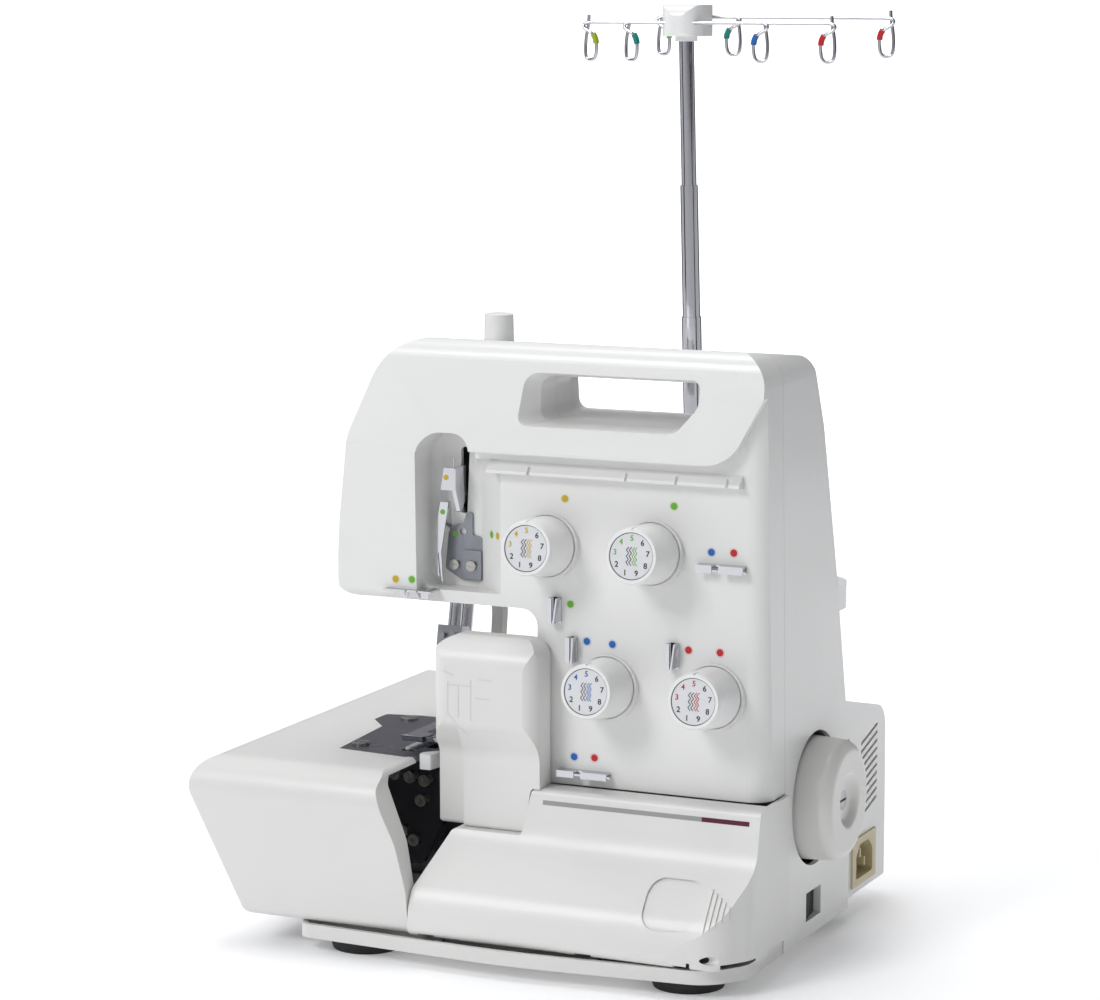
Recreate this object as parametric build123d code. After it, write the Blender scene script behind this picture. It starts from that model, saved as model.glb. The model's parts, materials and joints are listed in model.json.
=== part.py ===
"""Four-thread serger (overlock) machine, modelled as an assembly of separate pieces.

Millimetres. X runs to the machine's right (handwheel side), Y to its back, Z up. The rubber feet
stand on Z = 0. The pieces are drawn about the body's own centre lines and put() shifts all of them
by the same CENTRE, so that the origin lies under the middle of the whole machine.
"""
from build123d import *
import os
from math import acos, cos, radians, sin, tan

os.makedirs("parts", exist_ok=True)

# ---- Driving dimensions ----
BODY_TOP = 291.0        # top of the carrying handle
FOOT_H = 7.0            # rubber feet
BASE_RIM = 13.6         # upper edge of the base tray
SKIRT = 14.2            # lower edge of the table and of the looper cover
TABLE_TOP = 91.0        # sewing surface
ARM_BOTTOM = 166.0      # underside of the arm
LEDGE_Z = 240.0         # lower edge of the raised upper front
WALL = 2.6              # moulded shells
HEAD_LEFT = -91.0
COLUMN_LEFT = 14.0
BODY_RIGHT = 130.0
PANEL_Y = -70.0         # front panel behind the dials
HOOD_Y = -78.0          # raised upper front
SEAM_Y = -47.0          # split between the front and rear casings
SEAM_GAP = 0.15         # half the gap of a seam
LOW_BACK = 46.0         # back of the lower body
TILT = 5.7              # the dial axes point this many degrees upwards
SHAFT_Y, SHAFT_Z = -5.0, 73.3       # main shaft and handwheel
SHAFT_R = 5.0
WHEEL_R = 29.7
STITCH_X = -46.0        # needle bar and presser bar
BAR_LEAN = 12.0         # the bars lean back by this many degrees
NEEDLE_Y = -32.0        # needle bar axis at the arm's underside
PRESSER_Y = -19.0       # presser bar axis there
POLE_X, POLE_Y = 48.1, 44.0         # foot of the thread pole
POLE_LEAN = 1.5         # the pole leans this many degrees to the left
STAND_Z = 160.0         # top of the spool stand's tray
HUB_Z = 431.0           # underside of the thread guide hub
RUN = 0.05              # radial clearance of shafts and pins
HINGE_Y, HINGE_Z = -110.5, 19.2     # looper cover's hinge rod
SWING_X, SWING_Y = -62.0, 108.0     # cloth plate's upright hinge pin
MOTOR_Y, MOTOR_Z = 72.0, 58.0
BELT_X = 116.0          # plane of the drive belt
CENTRE = (-0.44, -0.39, 0.0)        # shift that centres the whole machine on the origin
KNOB_X, KNOB_Y = -33.0, -12.0       # presser pressure knob
DIAL_REACH = 26.0       # dial face ahead of the panel
DIALS = {               # X and Z of each dial's face
    "left_needle": (19.9, 199.4),
    "right_needle": (72.6, 199.4),
    "upper_looper": (50.1, 134.7),
    "lower_looper": (103.4, 134.7),
}
SWITCH_Y = (-17.0, 3.0)             # switch window in the right side
SWITCH_Z = (15.0, 29.0)
INLET_Y = (51.0, 85.0)              # power inlet in the right side
INLET_Z = (14.5, 38.5)
POSTS = [(60, -30), (-30, 10), (60, 20), (112, -20), (-72, -36)]    # screw posts of the base
FEET = [(99, -88), (-66, -91), (104, 28), (-66, 24)]
LIFTER_Y, LIFTER_Z = 8.0, 178.0     # presser lifter's pivot
FOOT_PIN = (-33.0, 103.0)           # Y and Z of the presser foot's pivot
TAKEUP_PIN = (-28.0, 222.0)         # Y and Z of the take-up lever's pivot
LOW_LOOPER = (2.0, 42.0)            # X and Z of the looper shafts and of the stitch dial
UP_LOOPER = (6.0, 60.0)
STITCH_DIAL = (78.0, 58.0)
BAY_SCREWS = [(-66, 78), (-58, 77), (-50, 76), (-52, 66), (-62, 50), (-56, 46)]
PLATE_SCREWS = [(-84, -62), (-88, -2)]
COVER_LEFT, COVER_RIGHT = -32.8, 132.6      # looper cover's two ends
EARS = [-12.0, 26.0, 94.0]          # left faces of the looper cover's hinge ears
LUGS = [-24.0, 56.0, 105.0]         # left faces of the lugs that hold the hinge rod
SLIDE = 3.5             # travel of the looper cover along its rod
PINS = [(-38, 84), (-2, 84), (34, 84), (70, 84)]        # spool pins
HUB_X = POLE_X - (HUB_Z - STAND_Z) * tan(radians(POLE_LEAN))
WIRE_R = 0.9            # thread guide wires on the pole
FRONT_WIRE = (POLE_Y - 9.0, HUB_Z + 6.5)
REAR_WIRE = (POLE_Y + 9.0, HUB_Z + 9.0)
FRONT_LOOPS = [-5.5, 16.0, 83.0, 117.0]
REAR_LOOPS = [25.5, 62.0, 140.0]


# ---- Drawing helpers ----
def outline(*corners):
    """A closed flat face; each corner is (u, v, radius) and is rounded by its radius."""
    spans = []
    count = len(corners)
    for i, (u, v, radius) in enumerate(corners):
        point = Vector(u, v)
        back = (Vector(*corners[i - 1][:2]) - point).normalized()
        ahead = (Vector(*corners[(i + 1) % count][:2]) - point).normalized()
        if radius == 0:
            spans.append((point, point, None))
            continue
        half = acos(back.dot(ahead)) / 2
        cut = radius / tan(half)
        middle = point + (back + ahead).normalized() * (radius / sin(half) - radius)
        spans.append((point + back * cut, point + ahead * cut, middle))
    edges = []
    for i, (start, end, middle) in enumerate(spans):
        if middle is not None:
            edges.append(Edge.make_three_point_arc(start, middle, end))
        following = spans[(i + 1) % count][0]
        if (following - end).length > 1e-6:
            edges.append(Edge.make_line(end, following))
    return Face(Wire(edges))


def grown(face, amount):
    """The same outline drawn out (or in, when negative) by an even amount."""
    return face if amount == 0 else offset(face, amount, kind=Kind.INTERSECTION)


def along_x(face, x0, x1):
    plane = Plane((x0, 0, 0), x_dir=(0, 1, 0), z_dir=(1, 0, 0))
    return extrude(plane * face, x1 - x0, dir=(1, 0, 0))


def along_y(face, y0, y1):
    plane = Plane((0, y1, 0), x_dir=(1, 0, 0), z_dir=(0, -1, 0))
    return extrude(plane * face, y1 - y0, dir=(0, -1, 0))


def along_z(face, z0, z1):
    return extrude(Pos(0, 0, z0) * face, z1 - z0, dir=(0, 0, 1))


def block(x0, x1, y0, y1, z0, z1):
    middle = Pos((x0 + x1) / 2, (y0 + y1) / 2, (z0 + z1) / 2)
    return middle * Box(x1 - x0, y1 - y0, z1 - z0)


def rod(start, end, radius, end_radius=None):
    """A round bar (or a cone) between two points."""
    start, end = Vector(*start), Vector(*end)
    length = (end - start).length
    place = Plane(start, z_dir=(end - start)).location * Pos(0, 0, length / 2)
    if end_radius is None:
        return place * Cylinder(radius, length)
    return place * Cone(radius, end_radius, length)


def tube(start, end, outer, inner):
    return rod(start, end, outer) - rod(start, end, inner)


def torus(centre, axis, major, minor):
    return Plane(Vector(*centre), z_dir=axis).location * Torus(major, minor)


def together(solids):
    """Fuses a list of solids into one."""
    solids = list(solids)
    first = solids[0]
    return first.fuse(*solids[1:]).clean() if len(solids) > 1 else first


def put(name, *solids):
    """Writes one piece, or one group of like pieces, under its name."""
    pieces = []
    for solid in solids:
        pieces += list(solid.solids())
    pieces = [Pos(*CENTRE) * piece for piece in pieces]
    shape = pieces[0] if len(pieces) == 1 else Compound(children=pieces)
    shape.label = name
    export_step(shape, f"parts/{name}.step")


def bar_y(height, base_y):
    """Y of a leaning bar's axis at a height, from its Y at the arm's underside."""
    return base_y + (height - ARM_BOTTOM) * tan(radians(BAR_LEAN))


def bar_point(height, base_y, x=STITCH_X):
    return (x, bar_y(height, base_y), height)


# ---- Body envelope: the outer form of head and column, drawn in by t on every side ----
def head_front():
    return outline(
        (COLUMN_LEFT, 84, 0), (BODY_RIGHT, 84, 0), (127, BODY_TOP, 16), (-64, BODY_TOP, 30),
        (-82, 245, 30), (HEAD_LEFT, ARM_BOTTOM, 11), (COLUMN_LEFT, ARM_BOTTOM, 8),
    )


def head_side():
    return outline(
        (-74.5, 84, 0), (HOOD_Y, LEDGE_Z + 1, 4), (-68, BODY_TOP + 0.8, 10), (-7, 284.5, 15),
        (7, 250, 40), (24, 178, 60), (37, 110, 60), (41, 84, 0),
    )


def arm_side():
    return outline(
        (-76, ARM_BOTTOM, 8), (-84, BODY_TOP + 5, 0), (45, BODY_TOP + 5, 0), (26, ARM_BOTTOM, 9),
    )


def head_plan():
    return outline((HEAD_LEFT, -80, 12), (BODY_RIGHT, -80, 6), (BODY_RIGHT, 45, 9), (HEAD_LEFT, 45, 9))


def panel_recess(t):
    """The step from the raised hood and left face back to the dial panel."""
    front = outline(
        (-46, 60, 0), (-46, LEDGE_Z, 3), (112, LEDGE_Z, 20), (128, 272, 30), (133, 300, 0),
        (150, 300, 0), (150, 60, 0),
    )
    plan = outline(
        (-46, -95, 0), (-46, PANEL_Y, 0), (BODY_RIGHT + 0.3, PANEL_Y, 11), (BODY_RIGHT + 0.3, -30, 0),
        (160, -30, 0), (160, -95, 0),
    )
    return along_y(grown(front, t), -95, -40) & along_z(grown(plan, t), 50, 310)


def needle_recess(t):
    """The arched recess for the take-up parts, left of the dials."""
    front = outline(
        (-46, 172, 7), (-46, 248, 13), (-18, 248, 9), (-18, 236, 0), (-5, 236, 0), (-5, 172, 0),
    )
    plan = outline(
        (-46, -95, 0), (-46, -56, 4), (-22, -56, 8), (-4, -70.5, 0), (-4, -95, 0),
    )
    return along_y(grown(front, t), -95, -50) & along_z(grown(plan, t), 160, 265)


def tunnel_edge(t, spread):
    return grown(
        outline(
            (13 - 1.1 * spread, 254.5 - 0.2 * spread, 5), (84 + 0.2 * spread, 254.5 - 0.2 * spread, 9),
            (95 + 0.2 * spread, 266, 8), (95 + 0.2 * spread, 276 + 0.5 * spread, 4),
            (13 - 1.1 * spread, 276 + 0.5 * spread, 7),
        ),
        t,
    )


def handle_tunnel(t):
    """The carrying handle's opening, flared at the front and at the back."""
    def ring_at(y, spread):
        plane = Plane((0, y, 0), x_dir=(1, 0, 0), z_dir=(0, -1, 0))
        return plane * tunnel_edge(t, spread)

    straight = along_y(tunnel_edge(t, 0), -64, -30)
    front = loft([ring_at(-63.5, 0), ring_at(-80, 9)])
    rear = loft([ring_at(-30.5, 0), ring_at(20, 14)])
    return together([straight, front, rear])


def head_envelope(t):
    body = along_y(grown(head_front(), -t), -90, 60) & along_x(grown(head_side(), -t), -120, 150)
    body &= along_z(grown(head_plan(), -t), 60, 320)
    arm = along_x(grown(arm_side(), -t), -120, 5) + block(5, 160, -100, 80, 60, 320)
    body &= arm
    return body - panel_recess(t) - needle_recess(t) - handle_tunnel(t)


def lower_envelope(t, floor):
    """The bed under the arm and the lower part of the column, behind the looper bay."""
    plan = outline(
        (-59, -18, 0), (COLUMN_LEFT, -18, 0), (COLUMN_LEFT, SEAM_Y, 0), (BODY_RIGHT, SEAM_Y, 0),
        (BODY_RIGHT, LOW_BACK + 4, 9), (-59, LOW_BACK, 7),
    )
    return along_z(grown(plan, -t), floor, TABLE_TOP - t)


def motor_envelope(t):
    side = outline((20, 11, 0), (108, 11, 9), (99, 98, 14), (20, 116, 0))
    plan = outline((24, 20, 0), (128.2, 20, 0), (128.2, 109, 10), (24, 109, 10))
    return along_x(grown(side, -t), 24 + t, 128.2 - t) & along_z(grown(plan, -t), 0, 130)


# ---- Casings ----
BARS_OPENING = block(-58, -34, -44, 12, 155, 171)
LIFTER_OPENING = block(-51, -39, 0, 60, 155, 184)
SLOT_FACE = outline((-32.2, 207, 1), (-29, 207, 1), (-27.6, 239, 2), (-32.2, 239, 2))
TAKEUP_SLOT = along_y(SLOT_FACE, -70, -50)
KNOB_WELL = rod((KNOB_X, KNOB_Y, 270), (KNOB_X, KNOB_Y, 310), 7.8)
OUTER = head_envelope(0)
HOLLOW = head_envelope(WALL)


def dial_point(x, face_z, reach):
    """A point on a dial's axis, this far ahead of the panel."""
    foot_z = face_z - DIAL_REACH * sin(radians(TILT))
    return (x, PANEL_Y - reach * cos(radians(TILT)), foot_z + reach * sin(radians(TILT)))


def dial_collar(x, z):
    """A raised ring round the foot of a dial."""
    ring = tube(dial_point(x, z, -4), dial_point(x, z, 3), 15.6, 14.6)
    floor = tube(dial_point(x, z, -4), dial_point(x, z, 2.2), 15.6, 4)
    return together([ring, floor]) & block(x - 30, x + 30, -80, PANEL_Y + 1, z - 40, z + 40)


def front_casing():
    """Front half of the casing with the four dial collars and the thread ledge."""
    shell = (OUTER - HOLLOW) & block(-130, 160, -100, SEAM_Y - SEAM_GAP, 50, 320)
    shell = together([shell, *[dial_collar(x, z) for x, z in DIALS.values()], thread_ledge()])
    for x, z in DIALS.values():
        shell -= rod(dial_point(x, z, -12), dial_point(x, z, 6), 4)
    return shell - TAKEUP_SLOT


def rear_casing():
    """Rear half of the casing, with the free arm's deck and the pocket of the power switch."""
    upper = (OUTER - HOLLOW) & block(-130, 160, SEAM_Y + SEAM_GAP, 100, 50, 320)
    upper -= block(COLUMN_LEFT + WALL, BODY_RIGHT - WALL, -60, 38, 70, 92)
    lower = lower_envelope(0, 7.5) - lower_envelope(WALL, 0)
    lower -= block(-59 + WALL, BODY_RIGHT - WALL, -60, -10, 0, TABLE_TOP - WALL)
    lower -= block(COLUMN_LEFT + WALL, BODY_RIGHT - WALL, -60, 38, 60, 100)
    lower &= block(-60, 160, SEAM_Y + SEAM_GAP, 100, 0, 100)
    lower -= block(-60, -55.5, -19, 40.3, 0, BASE_RIM + 0.2)
    lower -= block(-60, -56.3, -19, -13.7, 0, TABLE_TOP)
    (y0, y1), (z0, z1) = SWITCH_Y, SWITCH_Z
    pocket = block(118, BODY_RIGHT - 0.6, y0 - 1.5, y1 + 1.5, z0 - 1.4, z1 + 1.4)
    shell = together([upper, lower, pocket])
    shell -= block(119.5, 140, *SWITCH_Y, *SWITCH_Z)
    shell -= along_z(grown(plate_edge(), 0.3), 60, 120)
    shell -= BARS_OPENING
    shell -= LIFTER_OPENING
    shell -= KNOB_WELL
    shell -= rod((118, SHAFT_Y, SHAFT_Z), (150, SHAFT_Y, SHAFT_Z), WHEEL_R + 2.6)
    shell -= block(40, 125, 30, 60, 18, 96)
    return shell.solids().sort_by(SortBy.VOLUME)[-1]


def motor_cover():
    """Bulge behind the column over the motor, with ten slanted cooling slots in its right side."""
    body = motor_envelope(0) - motor_envelope(WALL)
    body -= along_x(grown(head_side(), 0.2), 0, 150)
    body -= lower_envelope(-0.2, 0)
    body -= block(100, 140, *INLET_Y, *INLET_Z)
    for i in range(10):
        slot = Pos(127, 76, 51 + 4.1 * i) * Rot(14, 0, 0) * Box(8, 25, 1.7)
        body -= slot
    return body.solids().sort_by(SortBy.VOLUME)[-1]


def power_inlet():
    """A socket housing with a deep well round its three flat pins."""
    body = block(116, 129.2, *INLET_Y, *INLET_Z)
    face = outline((56, 18, 2), (80, 18, 2), (80, 30, 6), (74, 35, 4), (62, 35, 4), (56, 30, 6))
    body -= along_x(face, 119, 135)
    spots = ((61.5, 23.5), (68, 29), (74.5, 23.5))
    pins = [block(118, 127, y - 1, y + 1, z - 2.2, z + 2.2) for y, z in spots]
    return together([body, *pins])


def power_switch():
    """A rocker that tips about an upright axle in the middle of its window."""
    y, z = sum(SWITCH_Y) / 2, sum(SWITCH_Z) / 2
    top = outline(
        (125.6, y - 8.4, 0), (129.8, y - 8.4, 0.6), (127.9, y, 8), (127, y + 8.4, 0.6), (125.6, y + 8.4, 0),
    )
    wedge = along_z(top, z - 6.2, z + 6.2)
    return together([wedge, rod((124, y, z - 4), (124, y, z + 4), 2.6)])


# ---- Base ----
def base_tray():
    """Shallow tray that carries the machine, with screw posts and drain slots."""
    plan = outline(
        (-92, -113, 6), (20, -119, 300), (117, -110, 22), (129.6, -92, 14), (129.6, -47.6, 0),
        (126.8, -47.6, 0), (126.8, 40, 8), (-60.2, 40, 0), (-60.2, 49, 3), (-92, 49, 4),
    )
    body = along_z(plan, FOOT_H, BASE_RIM) - along_z(grown(plan, -2.8), FOOT_H + 2.6, 30)
    bosses = [rod((x, y, FOOT_H + 1), (x, y, 22), 6) for x, y in POSTS]
    body = together([body, *bosses, rod((-66, 34, FOOT_H + 1), (-66, 34, 16), 4.5)])
    for x, y in POSTS:
        body -= rod((x, y, 0), (x, y, 18), 2)
    for i in range(9):
        body -= block(-20 + 7 * i, -17 + 7 * i, -96, -62, 0, 30)
    return body


def rubber_feet():
    return [rod((x, y, 0), (x, y, FOOT_H), 16.5, 19) for x, y in FEET]


def base_screws():
    made = []
    for x, y in POSTS:
        head = rod((x, y, 4.8), (x, y, FOOT_H), 3.6) - block(x - 2.6, x + 2.6, y - 0.5, y + 0.5, 4, 5.8)
        made.append(together([head, rod((x, y, 6), (x, y, 18), 2)]))
    return made


# ---- Inner frame ----
def frame_casting():
    """Cast frame: bed, two bearing walls, arm, motor cradles and the knob's threaded boss."""
    bed = [
        block(-55, 125, -45.5, 38, 22, 28), block(-86, -38, -56.5, -14, 22, 28),
        block(46, 107, 37, 100, 22, 28), block(-86, -80, -56.5, -14, 27, 88.2),
        block(-86, 12, -17.8, -13.8, 27, 88.2), block(24, 124, -45.5, -42, 27, 83),
        block(-38.5, -29, -58, -43.5, 22, 40), block(-40, -29, -48, -40, 22, 28),
        block(-80.5, -64, -56.5, -52, 60, 88.2),
    ]
    guide = block(-64, -50, -51, -39, 27, 62) - block(-60.4, -53.4, -60, -30, 56, 70)
    wall = outline((-44, 26, 0), (-44, 236, 0), (-2, 236, 0), (22, 110, 0), (32, 27, 0))
    walls = [along_x(wall, x, x + 6) for x in (18, 98)]
    arm = [
        block(-66, 104, -40, 0, 208, 236), block(-66, -60, -42, 6, 171.5, 236),
        block(-66, -33, -42, 6, 171.5, 183),
        rod((KNOB_X, KNOB_Y, 235), (KNOB_X, KNOB_Y, 262), 6.5), block(-52, KNOB_X, -7, 2, 242, 243.4),
    ]
    cradles = []
    for x in (50, 94):
        round_seat = rod((x - 1, MOTOR_Y, MOTOR_Z), (x + 7, MOTOR_Y, MOTOR_Z), 22)
        cradles.append(block(x, x + 6, 52, 92, 27, 44) - round_seat)
    body = together([*bed, guide, *walls, *arm, *cradles])
    body -= block(117, 126, -19.5, 5.5, 12, 32)
    body -= rod((0, SHAFT_Y, SHAFT_Z), (130, SHAFT_Y, SHAFT_Z), 8)
    body -= rod(bar_point(160, NEEDLE_Y), bar_point(245, NEEDLE_Y), 5.5)
    body -= rod(bar_point(160, PRESSER_Y), bar_point(241, PRESSER_Y), 5.5)
    body -= block(-33, -21, -45, -22, 200, 240)
    body -= rod((-36, *TAKEUP_PIN), (-18, *TAKEUP_PIN), 2)
    body -= block(-52, -38, -3, 13, 168, 190)
    body -= rod((-56, LIFTER_Y, LIFTER_Z), (-30, LIFTER_Y, LIFTER_Z), 2)
    body -= rod((KNOB_X, KNOB_Y, 244), (KNOB_X, KNOB_Y, 270), 3 + RUN)
    for x, z in (LOW_LOOPER, UP_LOOPER):
        body -= rod((x, -20, z), (x, -10, z), 3 + RUN)
    body -= rod((-33, -50, 20), (-33, -50, 45), 2.5 + RUN)
    x, z = STITCH_DIAL
    return body - rod((x, -50, z), (x, -40, z), 3 + RUN)


def bushes():
    """Bronze bushes of the main shaft, the needle bar and the presser bar."""
    rings = [tube((x, SHAFT_Y, SHAFT_Z), (x + 6, SHAFT_Y, SHAFT_Z), 8, SHAFT_R + RUN) for x in (18, 98)]
    for base, inner in ((NEEDLE_Y, 3.2), (PRESSER_Y, 3.4)):
        for low, high in ((172.8, 181.5), (224, 234.5)):
            rings.append(tube(bar_point(low, base), bar_point(high, base), 5.5, inner + RUN))
    return rings


# ---- Drive ----
def main_shaft():
    """Level shaft from the loopers to the handwheel, with a slotted end."""
    shaft = rod((-12, SHAFT_Y, SHAFT_Z), (143.5, SHAFT_Y, SHAFT_Z), SHAFT_R)
    return shaft - block(142.4, 145, SHAFT_Y - 6, SHAFT_Y + 6, SHAFT_Z - 0.6, SHAFT_Z + 0.6)


def pulley(x, y, z, radius, bore):
    rim = rod((x - 4, y, z), (x + 4, y, z), radius)
    cheeks = [rod((x + a, y, z), (x + a + 1.5, y, z), radius + 2.4) for a in (-5.5, 4)]
    return together([rim, *cheeks]) - rod((x - 10, y, z), (x + 10, y, z), bore)


def drive_belt():
    loops = []
    for grow, x0, x1 in ((2.1, BELT_X - 3, BELT_X + 3), (0.3, BELT_X - 5, BELT_X + 5)):
        big = Pos(SHAFT_Y, SHAFT_Z) * Circle(26 + grow)
        small = Pos(MOTOR_Y, MOTOR_Z) * Circle(8 + grow)
        loops.append(along_x(make_hull(big.edges() + small.edges()), x0, x1))
    return loops[0] - loops[1]


def handwheel():
    profile = outline(
        (126, SHAFT_R, 0), (126, WHEEL_R, 1), (147, WHEEL_R - 1.2, 6), (147, 13, 3), (143.5, 9.5, 3),
        (143.5, SHAFT_R, 0),
    )
    body = revolve(Plane.XY * profile, Axis.X)
    body = Pos(0, SHAFT_Y, SHAFT_Z) * body
    hollow = tube((124, SHAFT_Y, SHAFT_Z), (138, SHAFT_Y, SHAFT_Z), WHEEL_R - 3.4, 10)
    return body - hollow


def motor():
    """Round motor that lies in the frame's two cradles."""
    body = rod((46, MOTOR_Y, MOTOR_Z), (104, MOTOR_Y, MOTOR_Z), 22)
    boss = rod((104, MOTOR_Y, MOTOR_Z), (107, MOTOR_Y, MOTOR_Z), 8)
    brushes = block(42, 46, MOTOR_Y - 10, MOTOR_Y + 10, MOTOR_Z - 10, MOTOR_Z + 10)
    return together([body, boss, brushes]) - rod((90, MOTOR_Y, MOTOR_Z), (110, MOTOR_Y, MOTOR_Z), 4 + RUN)


def motor_rotor():
    shaft = rod((92, MOTOR_Y, MOTOR_Z), (122, MOTOR_Y, MOTOR_Z), 4)
    return together([shaft, pulley(BELT_X, MOTOR_Y, MOTOR_Z, 8, 3)])


# ---- Needle bar, presser and take-up ----
def bar_place(height, base_y):
    """Local frame on a leaning bar: Z up the bar, X to the machine's right."""
    direction = (0, sin(radians(BAR_LEAN)), cos(radians(BAR_LEAN)))
    return Plane(bar_point(height, base_y), x_dir=(1, 0, 0), z_dir=direction).location


def needle_bar():
    place = bar_place(148, NEEDLE_Y)
    return together([place * Pos(0, 0, 57) * Cylinder(3.2, 114), place * Pos(0, 0, 113) * Cylinder(2.4, 6)])


def needle_clamp():
    place = bar_place(148, NEEDLE_Y)
    body = place * Pos(0, -0.5, -5) * Box(13, 8.5, 10)
    for x in (-3, 3):
        body -= place * Pos(x, 0, -6) * Cylinder(0.85, 14)
        body = together([body, place * Pos(x, -6, -5) * Rot(90, 0, 0) * Cylinder(1.5, 3)])
    return body


def needles():
    place = bar_place(148, NEEDLE_Y)
    made = []
    for x in (-3, 3):
        shank = place * Pos(x, 0, -5) * Cylinder(0.85, 8)
        blade = place * Pos(x, 0, -27) * Cylinder(0.5, 37)
        tip = place * Pos(x, 0, -47.5) * Cone(0.1, 0.5, 4)
        made.append(together([shank, blade, tip]))
    return made


def presser_bar():
    return rod(bar_point(112, PRESSER_Y), bar_point(238, PRESSER_Y), 3.4)


def foot_holder():
    body = together([
        bar_place(116, PRESSER_Y) * Box(10, 10, 12),
        block(-50.4, -41.6, -37, -29.4, 100.5, 112),
    ])
    body -= rod(bar_point(112, PRESSER_Y), bar_point(130, PRESSER_Y), 3.4)
    return body - rod((-60, *FOOT_PIN), (-30, *FOOT_PIN), 1.2)


def foot_pin():
    return rod((-54.5, *FOOT_PIN), (-37.5, *FOOT_PIN), 1.2)


def presser_foot():
    sole = along_x(
        outline(
            (-70, 99.5, 0), (-68, 96.2, 3), (-62, 95.5, 0), (-24, 95.5, 2), (-24, 98.6, 1), (-64, 98.6, 3),
        ),
        -58.5, -36.9,
    )
    ears = [
        along_x(outline((-38, 98, 0), (-36, 105.6, 2), (-30, 105.6, 2), (-28, 98, 0)), x, x + 2.6)
        for x in (-53.4, -41.1)
    ]
    body = together([sole, *ears])
    body -= block(-51.5, -40.5, -56, -43, 90, 102)
    body -= block(-47, -45, -80, -55, 90, 102)
    return body - rod((-60, *FOOT_PIN), (-30, *FOOT_PIN), 1.2 + RUN)


def presser_lifter():
    """A curved lever behind the needle, hanging under the arm on its own pin."""
    side = outline(
        (4, 182, 3), (12, 182, 3), (12, 168, 8), (17, 148, 14), (14, 127, 2.5), (8.5, 127, 2), (11, 148, 12),
        (5, 164, 6),
    )
    lever = along_x(side, -48, -42)
    return lever - rod((-56, LIFTER_Y, LIFTER_Z), (-30, LIFTER_Y, LIFTER_Z), 2 + RUN)


def pivot_pins():
    """Fixed pins of the presser lifter and of the take-up lever."""
    return [
        rod((-56, LIFTER_Y, LIFTER_Z), (-34, LIFTER_Y, LIFTER_Z), 2),
        rod((-35, *TAKEUP_PIN), (-19, *TAKEUP_PIN), 2),
    ]


def pressure_knob():
    """Knob with a crowned top on a stem that turns in the frame's boss."""
    body = rod((KNOB_X, KNOB_Y, 278), (KNOB_X, KNOB_Y, 299), 7.4, 7.0)
    crown = Pos(KNOB_X, KNOB_Y, 271) * Sphere(28)
    return together([body & crown, rod((KNOB_X, KNOB_Y, 246), (KNOB_X, KNOB_Y, 280), 3)])


def takeup_lever():
    """Arm on its pin, out through the slot, folded into the bright thread plate in front."""
    side = outline(
        (-24, 226, 3), (-24, 218, 3), (-56, 216, 2), (-60.8, 208.5, 0.8), (-62.4, 208.5, 0.8),
        (-66.9, 218.6, 1), (-66.9, 230, 0.5), (-57, 230.5, 3), (-50, 226, 5),
    )
    arm = along_x(side, -31.6, -29.6)
    face = along_y(outline((-37.4, 219.4, 0.4), (-29.6, 219.4, 0.4), (-29.6, 230, 0.4), (-35.8, 230, 0.4)),
                   -67.6, -66.7)
    post = rod((-31.4, -66.6, 228), (-31, -66.6, 234.6), 0.5)
    body = together([arm, face, post])
    return body - rod((-36, *TAKEUP_PIN), (-18, *TAKEUP_PIN), 2 + RUN)


def takeup_bracket():
    """Grey bracket on the recess floor, with a thread hole and a square plate under one screw."""
    face = outline(
        (-40, 180, 2), (-31, 175.2, 2), (-20.4, 175.2, 1), (-20.4, 196, 1), (-25.7, 197, 1), (-25.7, 208, 1),
        (-28.8, 207.2, 0.6), (-30.5, 202.5, 1), (-38, 199.5, 4),
    )
    body = along_y(face, -57.6, -56.05)
    step = along_y(outline((-30, 175.8, 0.6), (-20.6, 175.8, 0.6), (-20.6, 189.8, 0.6), (-30, 189.8, 0.6)),
                   -58.8, -57.5)
    return together([body, step]) - rod((-30.6, -60, 198.5), (-30.6, -50, 198.5), 1.7) - OUTER


def bracket_screws():
    return [
        rod((x, y - 1.6, 182.4), (x, y, 182.4), 2.5) - block(x - 3, x + 3, y - 2, y - 1, 182, 182.8)
        for x, y in ((-34.8, -57.6), (-25.4, -58.8))
    ]


def needle_guide():
    """Bright fixed guide below the take-up lever, with its two pointed thread fingers."""
    cover = along_y(outline((-43.1, 188.7, 0), (-38.6, 188.7, 0), (-34.5, 213.2, 0.6), (-38.9, 213.2, 0.6)),
                    -65.2, -64.2)
    web = outline((-65, 203, 0), (-65, 213.2, 0), (-58.4, 213.2, 2), (-57.65, 199, 0))
    fingers = [
        outline((-43.1, 189, 0), (-40.3, 189, 0), (-39.5, 177.4, 0), (-40, 177.4, 0)),
        outline((-39.9, 189, 0), (-38.5, 189, 0), (-37.7, 173.8, 0), (-38.2, 173.8, 0)),
    ]
    tips = [along_y(finger, -65.1, -64.3) for finger in fingers]
    return together([cover, along_x(web, -37.4, -36.4), *tips])


# ---- Sewing bed ----
def plate_edge():
    return outline(
        (-89, -74, 0.6), (-52, -78, 1), (-40, -66, 1), (-38.4, -60, 0), (-38.4, 9, 0), (-58, 9, 0),
        (-85, 9, 0), (-104, 5, 2), (-104, -8, 2), (-93, -21, 2),
    )


def needle_plate():
    body = along_z(plate_edge(), 88.2, TABLE_TOP)
    body -= block(-52, -40.4, -56, -42, 80, 95)
    for x in (-60.4, -56.4):
        body -= block(x, x + 3, -66, -28, 80, 95)
    for x, y in PLATE_SCREWS:
        body -= rod((x, y, 80), (x, y, 92), 1.9)
    return body


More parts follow.
